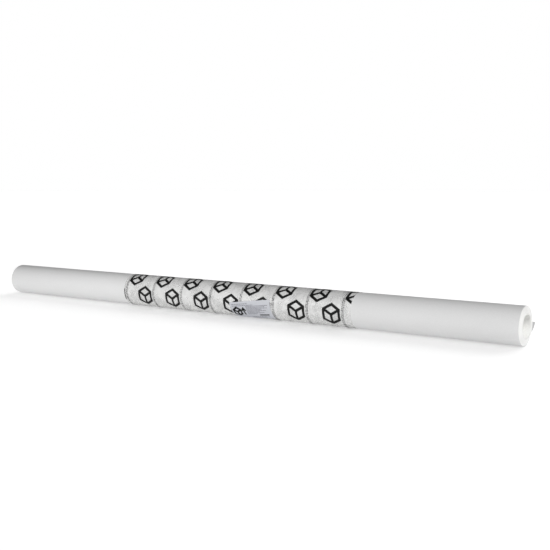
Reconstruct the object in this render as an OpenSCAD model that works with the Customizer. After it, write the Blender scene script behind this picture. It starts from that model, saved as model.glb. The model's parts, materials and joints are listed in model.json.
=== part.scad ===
// Roll of seamless background paper on a spiral-wound board core, held closed
// by a band of printed film with a product label on it.
// X runs along the roll, +Z is up and +Y is the back. The origin is on the
// core's axis at mid-length. Angles go from +Y up towards +Z.

/* [Paper] */
// Width of the sheet, which is the length of the roll
sheet_width = 1350; // [1200:10:1800]
// Outer diameter of the wound paper
roll_d = 72; // [66:1:110]
// Depth of the last turns, which are wound more loosely than the rest
last_turns_depth = 0.8; // [0.7:0.1:1.5]
// Thickness drawn for the free end of the sheet
sheet_t = 0.3; // [0.2:0.05:0.4]
// How far the last turn is shifted back from the core at the right-hand end
telescope = 2.5; // [0.5:0.5:6]

/* [Core] */
// Bore of the board core
core_bore_d = 42; // [36:1:48]
// Wall of the board core
core_wall = 2.5; // [2:0.1:4]
// Number of strips of tape that hold the sheet's inner end
tape_count = 3; // [2:1:5]
// Length of one strip along the roll
tape_length = 50; // [20:5:80]
// Thickness of the tape
tape_t = 0.15; // [0.1:0.05:0.3]

/* [Free edge] */
// Angle of the sheet's free edge when it lies flat, above the back
edge_angle = 15; // [5:1:30]
// Arc between a corner's fold and the free edge
corner_arc = 40; // [30:1:50]
// Length of each free corner along the roll
corner_length = 110; // [60:5:200]
// How far the right-hand corner has sprung open
corner_lift = 45; // [0:1:60]

/* [Film band] */
// Width of the film along the roll
film_width = 610; // [300:10:700]
// Middle of the film along the roll
film_middle = 35.5; // [0:0.5:60]
// Thickness drawn for the film
film_t = 0.35; // [0.3:0.05:0.4]
// Arc over which the film's end laps over its start
lap_arc = 30; // [15:1:45]
// Angle at which the lap starts
lap_angle = 20; // [10:1:40]

/* [Label] */
// Length of the label along the roll
label_length = 106; // [60:1:120]
// Height of the label round the roll
label_height = 48; // [30:1:50]
// Middle of the label along the roll
label_middle = 98; // [60:1:150]
// Angle of the label's middle, round the front of the roll
label_angle = 212.5; // [195:0.5:213]
// How far the label is stuck on askew
label_tilt = 7.5; // [0:0.5:8]
// Thickness of the label
label_t = 0.15; // [0.1:0.05:0.25]

/* [Hidden] */
$fn = 120;
roll_r = roll_d / 2;
pack_r = roll_r - last_turns_depth;
bore_r = core_bore_d / 2;
core_r = bore_r + core_wall;
// Three plies share the wall.
ply_t = core_wall / 3;
sheet_right = sheet_width / 2 - telescope;
sheet_left = -sheet_width / 2 - telescope;
// Bodies that move past each other stay this far apart.
clearance = 0.3;
fold_angle = edge_angle - corner_arc;
film_bore_r = roll_r + clearance;
film_r = film_bore_r + film_t;
// Film left under the roll, where its weight presses the band flat
pressed_t = 0.1;
tape_arc = 60;
tape_pitch = (sheet_width - 150) / (tape_count - 1);
// Reach of cutting shapes past the roll
past = 10;

function polar(r, a) = [r * cos(a), r * sin(a)];

// An outline in Y and Z, drawn out along X from x0
module along_x(x0, length) {
    translate([x0, 0, 0]) rotate([90, 0, 90]) linear_extrude(length) children();
}

module ring(inner_r, outer_r) {
    difference() {
        circle(outer_r);
        circle(inner_r);
    }
}

// A wedge of the YZ plane, up to 150 degrees wide
module wedge(from, to, reach) {
    polygon([[0, 0], polar(reach, from), polar(reach * 4, (from + to) / 2), polar(reach, to)]);
}

module arc_band(inner_r, outer_r, from, to) {
    intersection() {
        ring(inner_r, outer_r);
        wedge(from, to, outer_r + past);
    }
}

// --- Core ---

module core_ply(number) {
    along_x(-sheet_width / 2, sheet_width)
        ring(bore_r + number * ply_t, bore_r + (number + 1) * ply_t);
}

module core_inner_ply() {
    color("gainsboro") core_ply(0);
}

module core_middle_ply() {
    color("silver") core_ply(1);
}

module core_outer_ply() {
    color("lightgray") core_ply(2);
}

module tape_strips() {
    for (i = [0 : tape_count - 1])
        along_x((i - (tape_count - 1) / 2) * tape_pitch - tape_length / 2, tape_length)
            arc_band(core_r, core_r + tape_t, 90 - tape_arc / 2, 90 + tape_arc / 2);
}

module core_start_tape() {
    color("tan") tape_strips();
}

// --- Paper ---

// The turns are shifted a little more to the left with each turn out, so the
// ends are shallow cones.
module paper_wound() {
    color("whitesmoke") difference() {
        rotate([90, 0, 90]) rotate_extrude()
            polygon([
                [core_r, -sheet_width / 2], [pack_r, sheet_left],
                [pack_r, sheet_right], [core_r, sheet_width / 2]
            ]);
        tape_strips();
    }
}

// One turn, round except above its free edge, where an off-centre circle lets
// it climb from one sheet's thickness lower
module last_turn_outline() {
    difference() {
        intersection() {
            circle(roll_r);
            rotate(edge_angle) union() {
                translate([-sheet_t * 2 / 3, 0]) circle(roll_r - sheet_t / 3);
                translate([-roll_d, -2 * roll_d]) square(2 * roll_d);
            }
        }
        circle(pack_r);
    }
}

// The place that a free corner leaves in the last turn
module corner_window(x0, length) {
    gap_angle = clearance / roll_r * 180 / PI;
    along_x(x0, length) wedge(fold_angle - gap_angle, edge_angle + gap_angle, roll_r + past);
}

module paper_last_turn() {
    color("white") difference() {
        along_x(sheet_left, sheet_width) last_turn_outline();
        corner_window(sheet_right - corner_length - clearance, corner_length + past);
        corner_window(sheet_left - past, corner_length + clearance + past);
    }
}

// A corner of the sheet, opened by lift degrees about its fold
module free_corner(x0, lift) {
    fold = polar(roll_r, fold_angle);
    translate([0, fold[0], fold[1]]) rotate([-lift, 0, 0]) translate([0, -fold[0], -fold[1]])
        along_x(x0, corner_length) arc_band(roll_r - sheet_t, roll_r, fold_angle, edge_angle);
}

module free_corner_right() {
    color("white") free_corner(sheet_right - corner_length, corner_lift);
}

module free_corner_left() {
    color("white") free_corner(sheet_left, 0);
}

// --- Film and label ---

// A band round the roll, with a lap at the back and a flat foot where it lies
module printed_film() {
    color("lightslategray", 0.6) along_x(film_middle - film_width / 2, film_width) {
        difference() {
            ring(film_bore_r, film_r);
            translate([-roll_r, -2 * roll_r - film_bore_r - pressed_t]) square(2 * roll_r);
        }
        arc_band(film_r, film_r + film_t, lap_angle, lap_angle + lap_arc);
    }
}

module product_label() {
    // The label's height is measured round the film, and the cut is straight.
    chord = 2 * film_r * sin(label_height / film_r * 90 / PI);
    color("aliceblue") intersection() {
        along_x(label_middle - label_length, 2 * label_length) ring(film_r, film_r + label_t);
        translate([label_middle, 0, 0]) rotate([label_angle - 90, 0, 0]) rotate([0, 0, label_tilt])
            translate([-label_length / 2, -chord / 2, 0]) cube([label_length, chord, film_r + past]);
    }
}

core_inner_ply();
core_middle_ply();
core_outer_ply();
core_start_tape();
paper_wound();
paper_last_turn();
free_corner_right();
free_corner_left();
printed_film();
product_label();
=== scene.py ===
"""The looks of a roll of white background paper: a spiral-wound sheet on a board core, with a sprung
corner, held closed by a band of printed clear film that carries a product label.

Lengths are in metres. X runs along the roll. An angle about X goes from the back (+Y) up over the top,
and a girth is a length round the roll, counted up from the middle of the front (-Y)."""

import json
import math

import bmesh
import bpy
import numpy as np
from mathutils import Matrix, Vector


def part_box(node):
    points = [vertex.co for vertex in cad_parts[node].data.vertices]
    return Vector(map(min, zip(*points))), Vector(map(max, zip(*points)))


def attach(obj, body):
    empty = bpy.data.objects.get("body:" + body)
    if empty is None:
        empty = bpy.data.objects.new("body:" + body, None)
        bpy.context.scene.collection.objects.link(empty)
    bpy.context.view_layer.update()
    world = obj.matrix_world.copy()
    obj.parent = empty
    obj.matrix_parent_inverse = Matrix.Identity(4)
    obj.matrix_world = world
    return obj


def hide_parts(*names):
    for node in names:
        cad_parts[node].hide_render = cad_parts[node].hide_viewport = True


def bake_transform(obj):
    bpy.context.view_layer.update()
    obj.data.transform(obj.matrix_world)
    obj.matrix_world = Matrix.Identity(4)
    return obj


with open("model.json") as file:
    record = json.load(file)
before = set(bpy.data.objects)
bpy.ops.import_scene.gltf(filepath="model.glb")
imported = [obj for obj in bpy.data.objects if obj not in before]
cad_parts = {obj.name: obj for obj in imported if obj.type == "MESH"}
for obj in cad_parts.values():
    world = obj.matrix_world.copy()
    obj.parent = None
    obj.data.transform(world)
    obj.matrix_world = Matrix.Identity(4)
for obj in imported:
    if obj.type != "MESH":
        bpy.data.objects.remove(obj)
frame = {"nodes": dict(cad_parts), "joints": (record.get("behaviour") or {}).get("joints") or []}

MM = 0.001
TURN = 2 * math.pi
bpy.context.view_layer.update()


# ---------------------------------------------------------------- sizes, from the frame

def radii(cad_node):
    """The smallest and largest distance of a CAD node's surface from the roll's axis."""
    points = np.array([v.co for v in frame["nodes"][cad_node].data.vertices])
    away = np.hypot(points[:, 1], points[:, 2])
    return away.min(), away.max()


def x_range(cad_node):
    """The two ends of a CAD node along the roll."""
    low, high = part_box(cad_node)
    return low.x, high.x


JOINTS = {j["name"]: j for j in frame["joints"]}
CORE_X = x_range("core_inner_ply")
SHEET_X = x_range("paper_last_turn")
FILM_X = x_range("printed_film")
LABEL_X = x_range("product_label")
CORE_R = radii("core_outer_ply")[1]
ROLL_R = radii("paper_last_turn")[1]
FLOOR_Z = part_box("printed_film")[0].z

# The sheet, its winding and its free edge
SHEET_T = 0.2 * MM
TURN_PITCH = 0.2125 * MM
TELESCOPE = CORE_X[1] - SHEET_X[1]
FOLD_Y, FOLD_Z = JOINTS["right_corner_lift"]["pos_m"][1:]
FOLD_ANGLE = math.atan2(FOLD_Z, FOLD_Y)
CORNER_ARC = math.radians(40)
EDGE_ANGLE = FOLD_ANGLE + CORNER_ARC
RIGHT_LIFT = math.radians(45)

# The film starts under its own lap, runs down the back, under the roll and up the front. Its inner face
# is FILM_REST from the axis at the start, and climbs by FILM_CLIMB along its length. Under the roll it
# lies flat, FOOT_AIR above the floor.
FILM_T = 0.05 * MM
FILM_REST = ROLL_R + 0.08 * MM
FILM_START = math.radians(50)
FILM_LAP = math.radians(30)
FILM_CLIMB = 0.12 * MM
FOOT_AIR = 0.25 * MM
FILM_LENGTH = (TURN + FILM_LAP) * ROLL_R
FRONT_LENGTH = (math.pi + FILM_START) * ROLL_R

# The label's middle is a place along the roll and a girth.
LABEL_SIZE = (106 * MM, 48 * MM)
LABEL_MIDDLE = (sum(LABEL_X) / 2, -math.radians(32.5) * ROLL_R)
LABEL_TILT = math.radians(7.5)


# ---------------------------------------------------------------- mesh helpers

# Faces that meet at more than this are shaded with an edge between them.
SHARP_ANGLE = math.radians(40)


def add_mesh(name, points, faces, materials, indices=None):
    """A smooth mesh object with its sharp edges marked. indices gives each face's material."""
    mesh = bpy.data.meshes.new(name)
    mesh.from_pydata(np.asarray(points).tolist(), [], [list(map(int, f)) for f in faces])
    for material in materials:
        mesh.materials.append(material)
    if indices is not None:
        mesh.polygons.foreach_set("material_index", np.asarray(indices, np.int32))
    build = bmesh.new()
    build.from_mesh(mesh)
    bmesh.ops.recalc_face_normals(build, faces=build.faces)
    build.to_mesh(mesh)
    build.free()
    mesh.polygons.foreach_set("use_smooth", np.ones(len(mesh.polygons), bool))
    mesh.set_sharp_from_angle(angle=SHARP_ANGLE)
    piece = bpy.data.objects.new(name, mesh)
    bpy.context.scene.collection.objects.link(piece)
    return piece


def grid_faces(rows, columns, first=0):
    """Quads over a grid of points laid row by row."""
    row, column = np.meshgrid(np.arange(rows - 1), np.arange(columns - 1), indexing="ij")
    corner = first + row * columns + column
    return np.stack([corner, corner + 1, corner + columns + 1, corner + columns], -1).reshape(-1, 4)


def edge_loop(rows, columns):
    """The points round the edge of a grid, in order."""
    top = np.arange(columns)
    right = np.arange(1, rows) * columns + columns - 1
    bottom = (rows - 1) * columns + np.arange(columns - 2, -1, -1)
    left = np.arange(rows - 2, 0, -1) * columns
    return np.concatenate([top, right, bottom, left])


def sheet_parts(outer, inner):
    """The points and quads of a thin closed sheet, from the grids of its two faces."""
    rows, columns = outer.shape[:2]
    count = rows * columns
    loop = edge_loop(rows, columns)
    after = np.roll(loop, -1)
    rim = np.stack([after, loop, count + loop, count + after], -1)
    faces = np.concatenate([grid_faces(rows, columns), grid_faces(rows, columns, count)[:, ::-1], rim])
    return np.concatenate([outer.reshape(-1, 3), inner.reshape(-1, 3)]), faces


def add_sheets(name, sheets, material):
    """One mesh of several thin closed sheets, each a pair of grids."""
    points, faces, count = [], [], 0
    for outer, inner in sheets:
        some_points, some_faces = sheet_parts(outer, inner)
        points.append(some_points)
        faces.append(some_faces + count)
        count += len(some_points)
    return add_mesh(name, np.concatenate(points), np.concatenate(faces), [material])


def around(x, angle, radius):
    """Points at a place along the roll, an angle and a distance from its axis."""
    x, angle, radius = np.broadcast_arrays(x, angle, radius)
    return np.stack([x, radius * np.cos(angle), radius * np.sin(angle)], -1)


def ease(t):
    """0 to 1 with a smooth start and end."""
    t = np.clip(t, 0, 1)
    return t * t * (3 - 2 * t)


def waves(seed, count, length_x, length_round):
    """A random smooth function of x and angle, about -1 to 1, that closes on itself round the roll. It is a
    sum of count waves, most of them longer than length_x along the roll and length_round round it."""
    draw = np.random.default_rng(seed)
    along = draw.normal(0, TURN / length_x, count)
    per_turn = np.rint(draw.normal(0, TURN * ROLL_R / length_round, count))
    phase = draw.uniform(0, TURN, count)

    def height(x, angle):
        total = sum(np.sin(a * x + b * angle + c) for a, b, c in zip(along, per_turn, phase))
        return total / math.sqrt(count)

    return height


def finish_piece(piece, body, slot, *cad_nodes):
    """Fixes a piece to a body, in place of the CAD nodes that it shows. The slot is not used."""
    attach(piece, body)
    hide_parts(*cad_nodes)


# ---------------------------------------------------------------- materials

def new_material(name, colour, roughness, **sockets):
    """A material with one Principled shader, and its node tree and shader."""
    material = bpy.data.materials.new(name)
    material.use_nodes = True
    shader = material.node_tree.nodes["Principled BSDF"]
    shader.inputs["Base Color"].default_value = (*colour, 1)
    shader.inputs["Roughness"].default_value = roughness
    for socket, value in sockets.items():
        shader.inputs[socket.replace("_", " ")].default_value = value
    return material, material.node_tree, shader


def add_node(tree, kind, inputs=(), **properties):
    """A node with its properties set, and its inputs linked or set."""
    made = tree.nodes.new(kind)
    for key, value in properties.items():
        setattr(made, key, value)
    for key, value in dict(inputs).items():
        if isinstance(value, bpy.types.NodeSocket):
            tree.links.new(value, made.inputs[key])
        else:
            made.inputs[key].default_value = value
    return made


def stretched(tree, scale):
    """Object coordinates, scaled along each axis."""
    coordinates = add_node(tree, "ShaderNodeTexCoord").outputs["Object"]
    return add_node(tree, "ShaderNodeMapping", {"Vector": coordinates, "Scale": scale}).outputs["Vector"]


def noise(tree, scale, stretch=(1, 1, 1), detail=3.0, roughness=0.55):
    """A noise from 0 to 1, with about scale patches to a metre, or fewer along an axis where stretch is
    below 1."""
    inputs = {"Vector": stretched(tree, stretch), "Scale": scale, "Detail": detail, "Roughness": roughness}
    return add_node(tree, "ShaderNodeTexNoise", inputs).outputs["Fac"]


def tones(tree, factor, colour, dark, light, low=0.3, high=0.7):
    """colour times dark to light, as factor goes from low to high."""
    ramp = add_node(tree, "ShaderNodeValToRGB", {"Fac": factor})
    for element, place, by in zip(ramp.color_ramp.elements, (low, high), (dark, light)):
        element.position = place
        element.color = (*(c * by for c in colour), 1)
    return ramp.outputs["Color"]


def multiply(tree, a, b):
    """Two colours multiplied. A mix node has its factor at input 0 and its colours at 6 and 7, and its
    colour result at output 2."""
    mixer = add_node(tree, "ShaderNodeMix", {0: 1.0}, data_type="RGBA", blend_type="MULTIPLY")
    tree.links.new(a, mixer.inputs[6])
    tree.links.new(b, mixer.inputs[7])
    return mixer.outputs[2]


def spread(tree, factor, low, high):
    """factor, from 0 to 1, mapped to low to high."""
    inputs = {"Value": factor, "To Min": low, "To Max": high}
    return add_node(tree, "ShaderNodeMapRange", inputs).outputs["Result"]


def add_bump(tree, shader, height, distance, strength):
    """A relief on a shader. Distance is how far its highest points stand out, in metres."""
    inputs = {"Height": height, "Distance": distance, "Strength": strength}
    tree.links.new(add_node(tree, "ShaderNodeBump", inputs).outputs["Normal"], shader.inputs["Normal"])


FIBRES_TO_A_CLOUD = 60


def fibre_material(name, colour, grain, stretch=(0.4, 1, 1), contrast=0.04, clouds=0.02, relief=0.03,
                   roughness=0.82, **sockets):
    """Matt paper or board, with about grain fibres to a metre and a cloudy tone. Its relief is in
    millimetres."""
    material, tree, shader = new_material(name, colour, roughness, **sockets)
    fibres = noise(tree, grain, stretch, detail=5, roughness=0.65)
    cloud = noise(tree, grain / FIBRES_TO_A_CLOUD, stretch, detail=2)
    colours = multiply(tree, tones(tree, fibres, colour, 1 - contrast, 1 + contrast / 2),
                       tones(tree, cloud, (1, 1, 1), 1 - clouds, 1.0))
    tree.links.new(colours, shader.inputs["Base Color"])
    tree.links.new(spread(tree, fibres, roughness - 0.08, roughness + 0.1), shader.inputs["Roughness"])
    add_bump(tree, shader, fibres, relief * MM, 0.6)
    return material


def film_material(name, colour, alpha):
    """Thin clear film: glossy, with patchy roughness, faint ridges round the roll, and painted wrinkle
    shade in its colour.
    """
    material, tree, shader = new_material(name, colour, 0.3, Alpha=alpha, IOR=1.5, Specular_IOR_Level=0.7)
    wrinkle_relief_and_painted_shade = noise(tree, 170, (1, 0.45, 0.45), detail=4)
    gloss_patches_and_painted_shade = noise(tree, 55, (1, 0.7, 0.7), detail=4, roughness=0.6)
    # Painted shade: darker streaks round the roll and darker patches in the film's colour stand in for the
    # shade of its wrinkles.
    colours = multiply(tree, tones(tree, wrinkle_relief_and_painted_shade, colour, 0.92, 1.02, 0.36, 0.6),
                       tones(tree, gloss_patches_and_painted_shade, (1, 1, 1), 0.78, 1.0, 0.38, 0.54))
    tree.links.new(colours, shader.inputs["Base Color"])
    tree.links.new(spread(tree, gloss_patches_and_painted_shade, 0.2, 0.4), shader.inputs["Roughness"])
    add_bump(tree, shader, wrinkle_relief_and_painted_shade, 0.3 * MM, 0.7)
    return material


def ink_material(name, colour):
    """Printed ink, a little uneven in its cover."""
    material, tree, shader = new_material(name, colour, 0.6, Specular_IOR_Level=0.2)
    cover = noise(tree, 1200)
    tree.links.new(tones(tree, cover, colour, 0.8, 1.25), shader.inputs["Base Color"])
    tree.links.new(spread(tree, cover, 0.52, 0.7), shader.inputs["Roughness"])
    return material


# Painted shade: the sheet's faces have a darker tone than its cut edges, though both are the same white
# paper, so the roll's side reads darker than its lit ends.
SHADED_PAPER = fibre_material("white_paper_painted_shade", (0.745, 0.745, 0.745), 900, Specular_IOR_Level=0.3, Sheen_Weight=0.05)
EDGES = fibre_material("paper_edges", (0.92, 0.92, 0.91), 1400, contrast=0.06)
BOARD = fibre_material("core_board", (0.84, 0.84, 0.82), 700, contrast=0.1, clouds=0.04, relief=0.1,
                       roughness=0.88)
TAPE = fibre_material("paper_tape", (0.70, 0.58, 0.38), 900, (1, 0.2, 0.2), contrast=0.15, relief=0.1,
                      roughness=0.7)
LABEL = fibre_material("label_paper", (0.59, 0.60, 0.64), 1100, contrast=0.06, clouds=0.1,
                       roughness=0.5)
FILM = film_material("clear_film", (0.98, 0.98, 0.97), 0.27)
BLACK = ink_material("black_ink", (0.005, 0.005, 0.005))
GREY = ink_material("grey_ink", (0.03, 0.03, 0.032))
PALE_GREY = ink_material("pale_grey_ink", (0.22, 0.22, 0.25))
FLOOR = fibre_material("pale_floor", (0.85, 0.85, 0.85), 60, (1, 1, 1), contrast=0.01, relief=0.05,
                       roughness=0.7, Emission_Color=(1, 1, 1, 1), Emission_Strength=0.3)


# ---------------------------------------------------------------- core

# How far the cut ends of a ply wander along the roll
RAGGED = 0.08 * MM
CORE_SIDES = 128
CORE_RINGS = 30
# Points closer than this are one point.
WELD = 0.001 * MM


def core_ply(name, inner_r, outer_r, seed):
    """One ply of the core: a tube with slightly ragged cut ends."""
    draw = np.random.default_rng(seed)
    angle = np.linspace(0, TURN, CORE_SIDES + 1)
    x = np.linspace(*CORE_X, CORE_RINGS)[:, None] + np.zeros(CORE_SIDES + 1)
    for ring in (0, -1):
        x[ring, :-1] += draw.normal(0, RAGGED, CORE_SIDES)
        x[ring, -1] = x[ring, 0]
    points, faces = sheet_parts(around(x, angle, outer_r), around(x, angle, inner_r))
    ply = add_mesh(name, points, faces, [BOARD])
    close_tube(ply)
    return ply


def close_tube(piece):
    """Joins the two edges of a sheet that has been bent right round, and deletes the walls between them."""
    build = bmesh.new()
    build.from_mesh(piece.data)
    bmesh.ops.remove_doubles(build, verts=build.verts, dist=WELD)
    walls = [f for f in build.faces if sum(len(e.link_faces) > 2 for e in f.edges) >= 2]
    bmesh.ops.delete(build, geom=walls, context="FACES_ONLY")
    bmesh.ops.recalc_face_normals(build, faces=build.faces)
    build.to_mesh(piece.data)
    build.free()


plies = []
for seed, ply in enumerate(("inner", "middle", "outer")):
    cad_name = f"core_{ply}_ply"
    plies.append(core_ply(f"{ply}_ply", *radii(cad_name), seed))
    finish_piece(plies[-1], "roll", "core_board", cad_name)


# ---------------------------------------------------------------- paper

# Depth of the groove between two turns at the ends of the roll
GROOVE_DEPTH = 0.3 * MM
# Points in each turn of the spiral
PER_TURN = 120
# A turn's edge wanders along the roll as a sum of waves, which repeat after these numbers of turns.
EDGE_WANDER = 0.07 * MM
WANDER_TURNS = (0.9, 2.3, 5.1, 11.0)


def turn_radius(wound):
    """The radius of the sheet's outer face, at an angle wound in from its free edge."""
    return ROLL_R - TURN_PITCH * wound / TURN


def edge_shift(wound):
    """How far the sheet is shifted along the roll: the turns telescope, and wander a little."""
    depth = (ROLL_R - turn_radius(wound)) / (ROLL_R - CORE_R)
    wander = sum(EDGE_WANDER * np.sin(wound / turns + turns) for turns in WANDER_TURNS)
    return TELESCOPE * (depth - 1) + wander


def wound_pack():
    """All the turns but the last, as one closed surface: each end shows the spiral of the sheet's edge."""
    steps = int((ROLL_R - CORE_R - SHEET_T) / TURN_PITCH * PER_TURN)
    wound = np.arange(PER_TURN, steps + 1) * TURN / PER_TURN
    radius, angle, shift = turn_radius(wound), EDGE_ANGLE - wound, edge_shift(wound)
    count = len(wound)
    points = []
    for end, inward in ((CORE_X[1], -1), (CORE_X[0], 1)):
        x = end + shift
        points += [around(x, angle, radius), around(x, angle, radius - SHEET_T),
                   around(x + inward * GROOVE_DEPTH, angle, radius - (SHEET_T + TURN_PITCH) / 2)]
    top, low, groove = np.arange(3)[:, None] * count + np.arange(count)
    ends, sides = [], []

    def strip(a, b):
        return np.stack([a[:-1], a[1:], b[1:], b[:-1]], -1)

    for first in (0, 3 * count):
        ends += [strip(top, low) + first, strip(low, groove) + first,
                 strip(groove[:-PER_TURN], top[PER_TURN:]) + first]
    outside = top[:PER_TURN + 1]
    bore = groove[-PER_TURN - 1:]
    start_step = np.array([top[0], low[0], groove[0], top[PER_TURN]])
    end_step = np.array([groove[-1], low[-1], top[-1], groove[-PER_TURN - 1]])
    for line in (outside, bore, start_step, end_step):
        sides.append(strip(line, line + 3 * count))
    ends, sides = np.concatenate(ends), np.concatenate(sides)
    indices = np.concatenate([np.zeros(len(ends)), np.ones(len(sides))])
    return add_mesh("paper_pack", np.concatenate(points), np.concatenate([ends, sides]), [EDGES, SHADED_PAPER],
                    indices)


slack = waves(21, 14, 260 * MM, 90 * MM)
SLACK = 0.11 * MM
# The film holds the last turn down as far as this past its sides.
FILM_GRIP = 40 * MM


def looseness(x, angle):
    """How far the last turn stands off the turn below: up to twice SLACK well away from the film."""
    off_film = np.maximum(FILM_X[0] - x, x - FILM_X[1])
    return SLACK * ease(off_film / FILM_GRIP) * (1 + np.clip(slack(x, angle), -1, 1))


def last_turn_faces(x, wound):
    """Both faces of the last turn, over places along the roll and angles wound in from the free edge. They
    are shifted to meet the turn below."""
    x, wound = np.meshgrid(x, wound)
    angle = EDGE_ANGLE - wound
    radius = turn_radius(wound) + looseness(x, angle)
    x = x + edge_shift(0.0) + TELESCOPE
    return around(x, angle, radius), around(x, angle, radius - SHEET_T)


def lifted(points, lift):
    """Points turned outward about the fold by an angle for each."""
    y, z = points[..., 1] - FOLD_Y, points[..., 2] - FOLD_Z
    cos, sin = np.cos(lift), np.sin(lift)
    return np.stack([points[..., 0], FOLD_Y + y * cos + z * sin, FOLD_Z + z * cos - y * sin], -1)


# The last turn and the two strips at its free edge share these places along the roll.
COLUMN = 9 * MM
MIDDLE_X = sum(FILM_X) / 2
LEFT_COLUMNS = np.linspace(SHEET_X[0], MIDDLE_X, int((MIDDLE_X - SHEET_X[0]) / COLUMN))
RIGHT_COLUMNS = np.linspace(MIDDLE_X, SHEET_X[1], int((SHEET_X[1] - MIDDLE_X) / COLUMN))
CORNER_ROWS = 26
LAST_TURN_ROWS = 110
# A corner starts to bend this far past the film.
FLAP_EASE = 20 * MM


def free_corner(name, columns, lift, film_edge, sheet_end):
    """The strip between the fold and the free edge, which bends away from the roll towards its end."""
    start, end = film_edge + math.copysign(FLAP_EASE, film_edge), sheet_end
    share = ease((columns - start) / (end - start))
    faces = last_turn_faces(columns, np.linspace(0, CORNER_ARC, CORNER_ROWS))
    corner = add_sheets(name, [[lifted(face, lift * share) for face in faces]], SHADED_PAPER)
    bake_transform(corner)
    return corner


finish_piece(wound_pack(), "roll", "sheet_paper", "paper_wound")
all_columns = np.concatenate([LEFT_COLUMNS, RIGHT_COLUMNS[1:]])
past_fold = np.linspace(CORNER_ARC, TURN, LAST_TURN_ROWS)
last_turn = add_sheets("last_turn", [last_turn_faces(all_columns, past_fold)], SHADED_PAPER)
finish_piece(last_turn, "roll", "sheet_paper", "paper_last_turn")
right = free_corner("corner_right", RIGHT_COLUMNS, RIGHT_LIFT, FILM_X[1], SHEET_X[1])
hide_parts("free_corner_right")
left = free_corner("corner_left", LEFT_COLUMNS, 0.0, FILM_X[0], SHEET_X[0])
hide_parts("free_corner_left")


TAPE_COUNT = 3
TAPE_LENGTH = 50 * MM
# Angles of a strip's two ends, and heights of its two faces above the core
TAPE_ARC = (math.radians(60), math.radians(120))
TAPE_FACES = (0.12 * MM, 0.01 * MM)
TAPE_GRID = (12, 24)


def tape_strips():
    """Short strips of tape that hold the sheet's inner end to the core."""
    low, high = x_range("core_start_tape")
    angle = np.linspace(*TAPE_ARC, TAPE_GRID[1])[:, None]
    sheets = []
    for x in np.linspace(low, high - TAPE_LENGTH, TAPE_COUNT):
        places = np.linspace(x, x + TAPE_LENGTH, TAPE_GRID[0])
        sheets.append([around(places, angle, CORE_R + face) for face in TAPE_FACES])
    return add_sheets("tape_strips", sheets, TAPE)


finish_piece(tape_strips(), "roll", "start_tape", "core_start_tape")


# ---------------------------------------------------------------- film

# Heights of the film's sharp ridges, fine ridges and pucker
RIDGE = 0.2 * MM
FINE_RIDGE = 0.08 * MM
PUCKER = 0.05 * MM
# How far the film's cut sides wander along the roll
CUT_WANDER = 0.5 * MM
FILM_COLUMNS = 470
FILM_ROWS = 104

crease = waves(31, 30, 26 * MM, 150 * MM)
fine_crease = waves(35, 30, 11 * MM, 60 * MM)
pucker = waves(32, 16, 45 * MM, 60 * MM)
buckle = waves(33, 12, 120 * MM, 70 * MM)
cut = waves(34, 10, 1, 50 * MM)


def ridges(height, sharpness):
    """Narrow ridges along the zero line of a smooth function."""
    return np.clip(1 - np.abs(height) * sharpness, 0, 1) ** 2


def ripple(x, angle):
    """The film's wrinkles: thin ridges that run round the roll, and a soft pucker between them."""
    patch = np.clip(0.5 + buckle(x, angle), 0, 1)
    sharp = RIDGE * ridges(crease(x, angle), 1.6) * patch
    fine = FINE_RIDGE * ridges(fine_crease(x, angle), 1.2) * np.clip(0.6 - buckle(x, angle), 0, 1)
    return sharp + fine + PUCKER * (1 + np.clip(pucker(x, angle), -1, 1))


def film_faces(x, length, above=(FILM_T, 0.0)):
    """Layers of points at heights above the film's inner face, at places along the roll and lengths along
    the film from its start. The floor presses them flat under the roll."""
    angle = FILM_START - length / ROLL_R
    radius = FILM_REST + FILM_CLIMB * length / FILM_LENGTH + ripple(x, angle)
    layers = [around(x, angle, radius + a) for a in above]
    for layer, a in zip(layers, above):
        layer[..., 2] = np.maximum(layer[..., 2], FLOOR_Z + FOOT_AIR - a)
    return layers


def film_band():
    """The film, one turn and a lap long, with sides that wander a little to and from each other."""
    length = np.linspace(0, FILM_LENGTH, FILM_ROWS)
    x = np.linspace(*FILM_X, FILM_COLUMNS)
    share = (x - x[0]) / (x[-1] - x[0])
    angle = FILM_START - length / ROLL_R
    wander = CUT_WANDER * cut(0.0, angle)[:, None] * (1 - 2 * share)
    x, length = np.meshgrid(x, length)
    return add_sheets("film_band", [film_faces(x + wander, length)], FILM)


finish_piece(film_band(), "film", "film", "printed_film")


# ---------------------------------------------------------------- print on the film

# Marks stand in pairs of rows: one upright, and one above it that is turned over and set to one side.
MARK_PITCH = 83.2 * MM
PAIR_PITCH = 113 * MM
PAIRS = (-1, 0, 1)
MARK_SIDE = 20.5 * MM
STROKE = 5.6 * MM
# Place along the roll and girth of the first whole mark of the front's upright row, and the way from an
# upright mark to its turned one
FIRST_MARK = -203.3 * MM
FRONT_ROW = -7.8 * MM
TURNED_SHIFT = (-35.1 * MM, 45.3 * MM)
# The small print stands in columns of two lines, this far to the right of each upright mark's middle. Its
# dashes have random lengths, widths and gaps, in millimetres.
PRINT_SHIFT = 26 * MM
PRINT_LINE = 3.2 * MM
DASH_LENGTHS = (0.7, 1.8)
DASH_WIDTHS = (1.3, 2.4)
DASH_GAPS = (0.5, 0.7, 0.9, 2.0)
PRINT_START = 2 * MM
PRINT_END = FILM_LENGTH - 4 * MM
INK_T = 0.03 * MM
# Ink is drawn this far off what it is printed on, and each stroke of a mark a little above the one before.
INK_LIFT = 0.02 * MM
STROKE_LIFT = 0.002 * MM
# Distance between the points of a stroke
STROKE_STEP = 1.2 * MM
# The print stops this far short of the film's sides and of its two ends.
SIDE_MARGIN = 0.8 * MM
END_MARGIN = 0.3 * MM
# A line with less than this of an axis in its direction is square to it.
SQUARE = 1e-9


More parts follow.
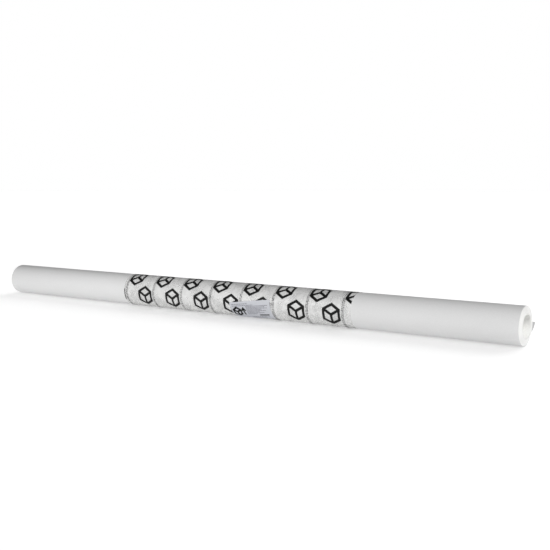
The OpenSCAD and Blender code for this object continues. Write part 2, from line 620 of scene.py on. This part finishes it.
def inside(start, along, size, low, high):
    """The lengths along a line of a given size at which it enters and leaves a box. It leaves no later than
    it enters where it misses the box."""
    enter, leave = 0.0, size
    for axis in (0, 1):
        if abs(along[axis]) > SQUARE:
            ends = sorted((edge[axis] - start[axis]) / along[axis] for edge in (low, high))
            enter, leave = max(enter, ends[0]), min(leave, ends[1])
        elif not low[axis] < start[axis] < high[axis]:
            leave = enter
    return enter, leave


def stroke(start, end, width, surface, above, box=None):
    """A printed stroke between two points of a flat layout, cut off at a box and laid on a surface as a
    thin sheet, or None where none of it is inside the box."""
    start, end = np.array(start), np.array(end)
    size = np.hypot(*(end - start))
    along = (end - start) / size
    across = np.array([-along[1], along[0]])
    rows, columns = (max(2, round(s / STROKE_STEP) + 1) for s in (size, width))
    lines = []
    for side in np.linspace(-width / 2, width / 2, columns):
        line = start + side * across
        enter, leave = inside(line, along, size, *box) if box else (0.0, size)
        if leave - enter > STROKE_STEP / 4:
            lines.append(line + np.linspace(enter, leave, rows)[:, None] * along)
    if len(lines) < 2:
        return None
    flat = np.stack(lines, 1)
    return surface(flat[..., 0], flat[..., 1], (above + INK_T, above))


def parcel_strokes(side, width, turned=False):
    """The strokes of a parcel seen from a corner: a hexagon and its three inner edges. Each side of the
    hexagon runs on a little past its ends, so that the strokes fill the corners where they meet."""
    turn = math.pi if turned else 0
    corners = [side * np.array([math.cos(a + turn), math.sin(a + turn)])
               for a in np.radians([90, 30, -30, -90, -150, 150])]
    past = width / 2 * math.tan(math.radians(30)) / side
    pairs = []
    for number, corner in enumerate(corners):
        edge = corners[(number + 1) % 6] - corner
        pairs.append((corner - past * edge, corner + (1 + past) * edge))
        if number % 2:
            pairs.append((-past * corner, corner))
    return pairs


def film_print():
    """Pairs of rows of parcel marks round the film, cut off at its edges."""
    box = (np.array([FILM_X[0] + SIDE_MARGIN, END_MARGIN]),
           np.array([FILM_X[1] - SIDE_MARGIN, FILM_LENGTH - END_MARGIN]))
    sheets = []
    for pair in PAIRS:
        height = FRONT_LENGTH + FRONT_ROW + pair * PAIR_PITCH
        for x in FIRST_MARK + np.arange(-1, 8) * MARK_PITCH:
            for turned in (False, True):
                middle = np.array([x, height]) + turned * np.array(TURNED_SHIFT)
                for number, (a, b) in enumerate(parcel_strokes(MARK_SIDE, STROKE, turned)):
                    above = FILM_T + INK_LIFT + number * STROKE_LIFT
                    sheets.append(stroke(a + middle, b + middle, STROKE, film_faces, above, box))
    return add_sheets("film_print", [sheet for sheet in sheets if sheet is not None], BLACK)


def small_print():
    """Columns of two lines of short dashes beside the marks, where a real film has fine print."""
    draw = np.random.default_rng(41)
    sheets = []
    for column in FIRST_MARK + PRINT_SHIFT + np.arange(-1, 7) * MARK_PITCH:
        for x in (column - PRINT_LINE / 2, column + PRINT_LINE / 2):
            place = PRINT_START
            while place < PRINT_END:
                dash = draw.uniform(*DASH_LENGTHS) * MM
                width = draw.uniform(*DASH_WIDTHS) * MM
                ends = [(x, place), (x, place + dash)]
                sheets.append(stroke(*ends, width, film_faces, FILM_T + INK_LIFT))
                place += dash + draw.choice(DASH_GAPS) * MM
    return add_sheets("film_small_print", sheets, GREY)


for piece in (film_print(), small_print()):
    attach(piece, "film")


# ---------------------------------------------------------------- label

LABEL_T = 0.1 * MM
LABEL_GAP = 0.08 * MM
LABEL_GRID = (72, 34)
# The label's corners curl off the film from this share of the way out.
CURL_FROM = 0.72
CURL = 0.12 * MM
# Lengths in the label's layout are in millimetres: its parcel's middle and side, the widths of its strokes,
# the height of a line of print and the usual length of a word. A gap is a share of a word.
PARCEL_PLACE = (-38, 1)
PARCEL_SIDE = 11
PARCEL_STROKE = 4.6
ARROW_STROKE = 3.6
BAR_STROKE = 3
PRINT_HEIGHT = 1.5
WORD = 4
WORD_SIZES = (0.5, 1.5)
WORD_GAP = 0.3


def label_faces(a, b, above=(LABEL_T, 0.0)):
    """Layers over the label, at lengths along it and up it from its middle."""
    cos, sin = math.cos(LABEL_TILT), math.sin(LABEL_TILT)
    x = LABEL_MIDDLE[0] + a * cos - b * sin
    girth = LABEL_MIDDLE[1] + a * sin + b * cos
    curl = ease(np.hypot(a / LABEL_SIZE[0] * 2, b / LABEL_SIZE[1] * 2) - CURL_FROM)
    return film_faces(x, FRONT_LENGTH + girth,
                      [FILM_T + LABEL_GAP + layer + CURL * curl for layer in above])


def label_sheet():
    """The label itself, a thin sheet stuck on the film."""
    a, b = np.meshgrid(*(np.linspace(-s / 2, s / 2, n) for s, n in zip(LABEL_SIZE, LABEL_GRID)))
    return add_sheets("label", [label_faces(a, b)], LABEL)


def word_ends(left, right, height, draw):
    """The two ends of each word of a line of print. A word too short to see is left out."""
    words = []
    a = left
    while a < right:
        size = min(WORD * draw.uniform(*WORD_SIZES), right - a)
        if size > PRINT_HEIGHT / 3:
            words.append([(a, height), (a + size, height)])
        a += size + WORD * WORD_GAP
    return words


def label_print():
    """A heading, a block of short lines with a ragged right edge, and two lines at the foot. Each line is
    a left end, a right end and a height."""
    heading = [(-48, -6, 19), (-48, 8, 15.5)]
    right_ends = (46, 38, 44, 30, 40, 22, 34, 12)
    block = [(-12, right_end, 13 - 2.7 * row) for row, right_end in enumerate(right_ends)]
    foot = [(-8, 42, -15), (-8, 34, -18)]
    draw = np.random.default_rng(51)
    words = [word for line in heading + block + foot for word in word_ends(*line, draw)]
    sheets = [stroke(*np.array(word) * MM, PRINT_HEIGHT * MM, label_faces, LABEL_T + INK_LIFT)
              for word in words]
    return add_sheets("label_print", sheets, PALE_GREY)


def label_marks():
    """A bold small parcel and an upward arrow at the label's left, and a bar near its foot."""
    parcel = [np.array(pair) + np.array(PARCEL_PLACE)
              for pair in parcel_strokes(PARCEL_SIDE, PARCEL_STROKE)]
    arrow = [[(-20, -8), (-20, 9)], [(-25.5, 3), (-19, 11)], [(-14.5, 3), (-21, 11)]]
    bar = [[(18, -9.5), (44, -9.5)]]
    sheets = []
    for pairs, width in ((parcel, PARCEL_STROKE), (arrow, ARROW_STROKE), (bar, BAR_STROKE)):
        for number, ends in enumerate(pairs):
            above = LABEL_T + INK_LIFT + number * STROKE_LIFT
            sheets.append(stroke(*np.array(ends) * MM, width * MM, label_faces, above))
    return add_sheets("label_marks", sheets, BLACK)


finish_piece(label_sheet(), "film", "label_paper", "product_label")
for piece in (label_print(), label_marks()):
    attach(piece, "film")


# ---------------------------------------------------------------- floor, light and camera

FLOOR_REACH = 30
CORE_END = (CORE_X[1], 0, 0)
MIDDLE = (0, 0, 0)


def add_floor():
    """A flat floor under the roll, far larger than the roll."""
    corners = ((-1, -1), (1, -1), (1, 1), (-1, 1))
    points = [(x * FLOOR_REACH, y * FLOOR_REACH, FLOOR_Z) for x, y in corners]
    floor = add_mesh("floor", points, [(0, 1, 2, 3)], [FLOOR])
    return floor


def aim(thing, place, target):
    """Puts a light or camera at a place, looking at a target with Z up."""
    place, target = Vector(place), Vector(target)
    back = (place - target).normalized()
    right = Vector((0, 0, 1)).cross(back).normalized()
    up = back.cross(right)
    turn = Matrix((right, up, back)).transposed().to_4x4()
    thing.matrix_world = Matrix.Translation(place) @ turn


def add_light(name, kind, place, power, target, piece, only):
    """A light aimed at a target, which lights either one piece only or all but that piece."""
    lamp = bpy.data.lights.new(name, kind)
    lamp.energy = power
    holder = bpy.data.objects.new(name, lamp)
    bpy.context.scene.collection.objects.link(holder)
    aim(holder, place, target)
    linked = bpy.data.collections.new(name + "_link")
    linked.objects.link(piece)
    linked.collection_objects[0].light_linking.link_state = "INCLUDE" if only else "EXCLUDE"
    holder.light_linking.receiver_collection = linked
    return lamp


def add_box_light(name, place, size, watts, piece, only=False, target=MIDDLE):
    """A soft box."""
    lamp = add_light(name, "AREA", place, watts, target, piece, only)
    lamp.shape = "RECTANGLE"
    lamp.size, lamp.size_y = size


def add_floor_light(name, place, spread_degrees, strength, floor):
    """A broad even light for the floor only."""
    lamp = add_light(name, "SUN", place, strength, MIDDLE, floor, True)
    lamp.angle = math.radians(spread_degrees)


def set_world(seen, light):
    """A white surround as the camera sees it, which lights the scene only a little."""
    world = bpy.data.worlds.new("studio")
    bpy.context.scene.world = world
    world.use_nodes = True
    tree = world.node_tree
    background = tree.nodes["Background"]
    path = add_node(tree, "ShaderNodeLightPath")
    strength = spread(tree, path.outputs["Is Camera Ray"], light, seen)
    background.inputs["Color"].default_value = (1, 1, 1, 1)
    tree.links.new(strength, background.inputs["Strength"])


def add_camera():
    """A normal lens at the right-hand front, a little above the roll."""
    azimuth, height = math.radians(35.164), math.radians(5.924)
    away = 1.82337
    target = Vector((0.13639, 0, 0.05785))
    level = math.cos(height)
    back = Vector((math.sin(azimuth) * level, -math.cos(azimuth) * level, math.sin(height)))
    lens = bpy.data.cameras.new("camera")
    lens.sensor_width = 36
    lens.lens = 56.95
    camera = bpy.data.objects.new("camera", lens)
    bpy.context.scene.collection.objects.link(camera)
    aim(camera, target + back * away, target)
    bpy.context.scene.camera = camera


floor = add_floor()
set_world(seen=1.0, light=0.02)
# The four large boxes light all but the floor, and the small one only the wall of the bore.
add_box_light("right_box", (3.0, -0.9, 1.8), (1.0, 0.8), 44.5, floor)
add_box_light("front_box", (2.0, -2.0, 1.0), (1.1, 1.0), 18.5, floor)
add_box_light("left_box", (-0.45, -1.15, 0.5), (0.8, 0.7), 7.8, floor)
add_box_light("back_box", (0.6, 2.6, 0.6), (1.1, 1.0), 26, floor)
add_box_light("bore_box", (1.6, -0.8, 1.4), (0.5, 0.5), 14, plies[0], True, CORE_END)
add_floor_light("floor_dome", (0.0, 0.05, 1.0), 165, 2.0, floor)
add_floor_light("floor_back", (0.0, 1.0, 0.45), 50, 1.65, floor)
add_camera()
bpy.context.scene.view_settings.view_transform = "Standard"
